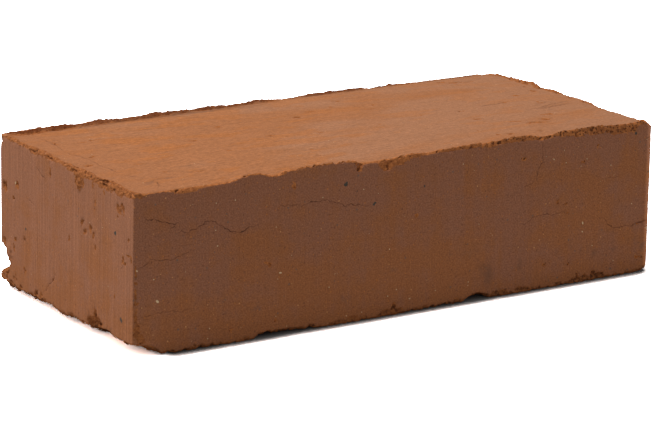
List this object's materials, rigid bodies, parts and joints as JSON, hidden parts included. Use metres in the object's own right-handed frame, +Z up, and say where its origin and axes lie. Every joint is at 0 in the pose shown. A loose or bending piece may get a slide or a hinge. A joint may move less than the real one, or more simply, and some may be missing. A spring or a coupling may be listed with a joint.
{
  "type": "clay brick",
  "caption": "Solid wire-cut fired clay brick with a torn, burred top arris, for masonry walls.",
  "frame": {"origin": "on the bottom bed, under the middle of the brick", "axes": "+X along the stretchers (length), +Y from the front stretcher to the back one (width), +Z up from the bottom bed to the top bed (height)"},
  "size_m": [0.25, 0.119, 0.0681],
  "materials": {
    "fired_clay": "matt"
  },
  "bodies": {
    "root": {"brick": "fired_clay"}
  },
  "joints": []
}
